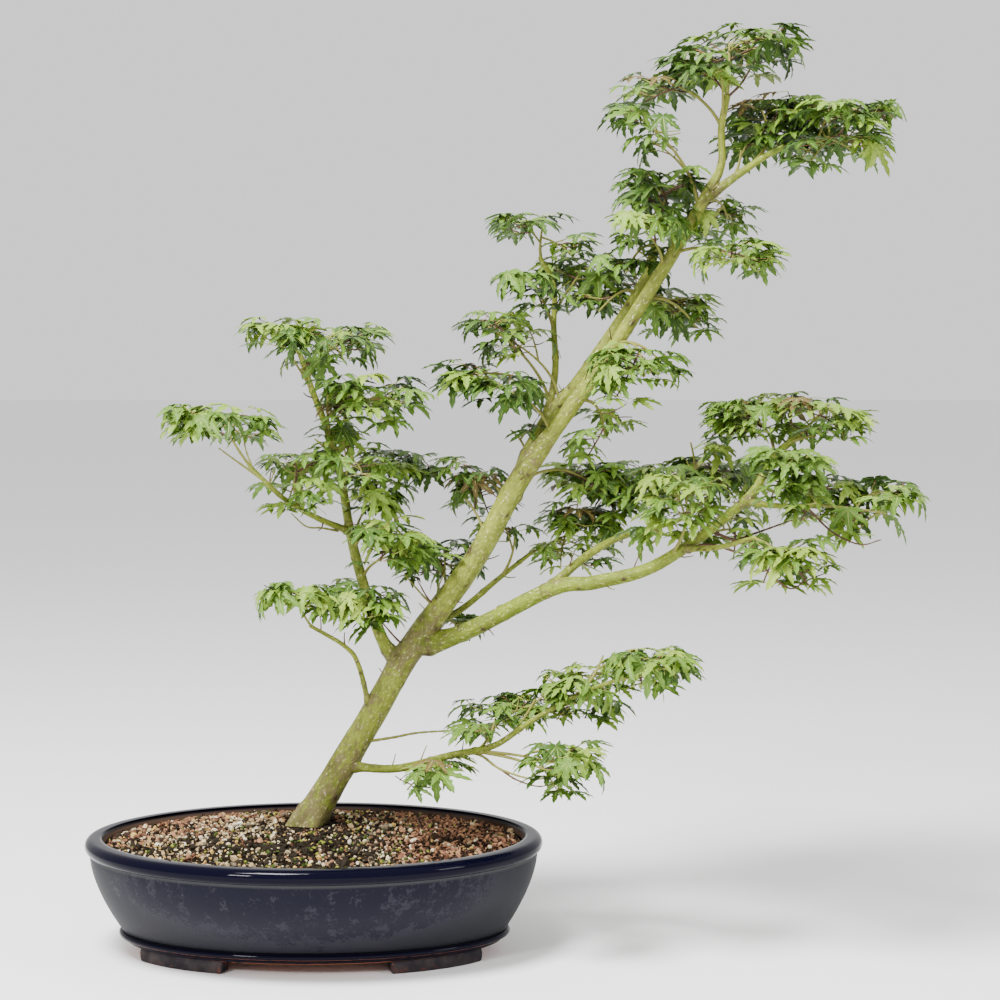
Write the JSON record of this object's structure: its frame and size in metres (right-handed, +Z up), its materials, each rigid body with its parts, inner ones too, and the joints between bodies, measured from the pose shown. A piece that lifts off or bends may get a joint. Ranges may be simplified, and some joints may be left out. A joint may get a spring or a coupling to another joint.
{
  "type": "potted maple bonsai tree",
  "caption": "Leaning bonsai tree with open tiers of five-lobed leaves, in a low oval glazed pot with a rounded lip and bracket feet.",
  "frame": {"origin": "middle of the whole plant's box, on the surface that the pot's feet stand on", "axes": "+Z up; +X along the pot's long side, the way the trunk leans; +Y from front to back"},
  "size_m": [0.7234, 0.3112, 0.8058],
  "materials": {
    "dark_blue_glaze": "gloss",
    "soil_grit": "rough",
    "bark": "matte",
    "young_bark": "satin",
    "foliage": "satin"
  },
  "bodies": {
    "root": {"pot": "dark_blue_glaze", "soil": "soil_grit", "trunk": "bark", "second_leader": "young_bark", "left_bough": "young_bark", "left_side_bough": "young_bark", "left_upright_bough": "young_bark", "low_left_bough": "young_bark", "low_right_bough": "young_bark", "right_bough": "young_bark", "right_east_bough": "young_bark", "right_low_bough": "young_bark", "right_slender_bough": "young_bark", "right_upper_bough": "young_bark", "top_right_bough": "young_bark", "crown_right_left_mass": "foliage", "crown_right_top_mass": "foliage", "east_inner_mass": "foliage", "east_tip_mass": "foliage", "far_left_mass": "foliage", "hanging_mass": "foliage", "inner_low_left_mass": "foliage", "leader_end_mass": "foliage", "left_low_right_mass": "foliage", "left_middle_mass": "foliage", "left_middle_right_mass": "foliage", "left_pad_high": "foliage", "left_pad_low": "foliage", "left_top_inner_mass": "foliage", "left_top_outer_mass": "foliage", "left_upper_right_mass": "foliage", "low_left_inner_mass": "foliage", "low_left_tip_mass": "foliage", "low_right_inner_mass": "foliage", "low_right_middle_mass": "foliage", "low_right_tip_mass": "foliage", "low_small_mass": "foliage", "rear_left_mass": "foliage", "rear_right_mass": "foliage", "right_front_mass": "foliage", "right_inner_mass": "foliage", "right_low_mass": "foliage", "right_middle_mass": "foliage", "right_side_lower_mass": "foliage", "right_side_middle_mass": "foliage", "right_side_upper_mass": "foliage", "right_twig_mass": "foliage", "right_under_mass": "foliage", "right_upper_end_mass": "foliage", "slender_end_mass": "foliage", "top_crown": "foliage", "top_left_mass": "foliage", "top_right_inner_mass": "foliage", "top_right_tip_mass": "foliage", "upper_inner_mass": "foliage", "upper_left_mass": "foliage", "upper_right_mass": "foliage", "upright_left_mass": "foliage", "upright_right_mass": "foliage", "upright_top_mass": "foliage"}
  },
  "joints": []
}
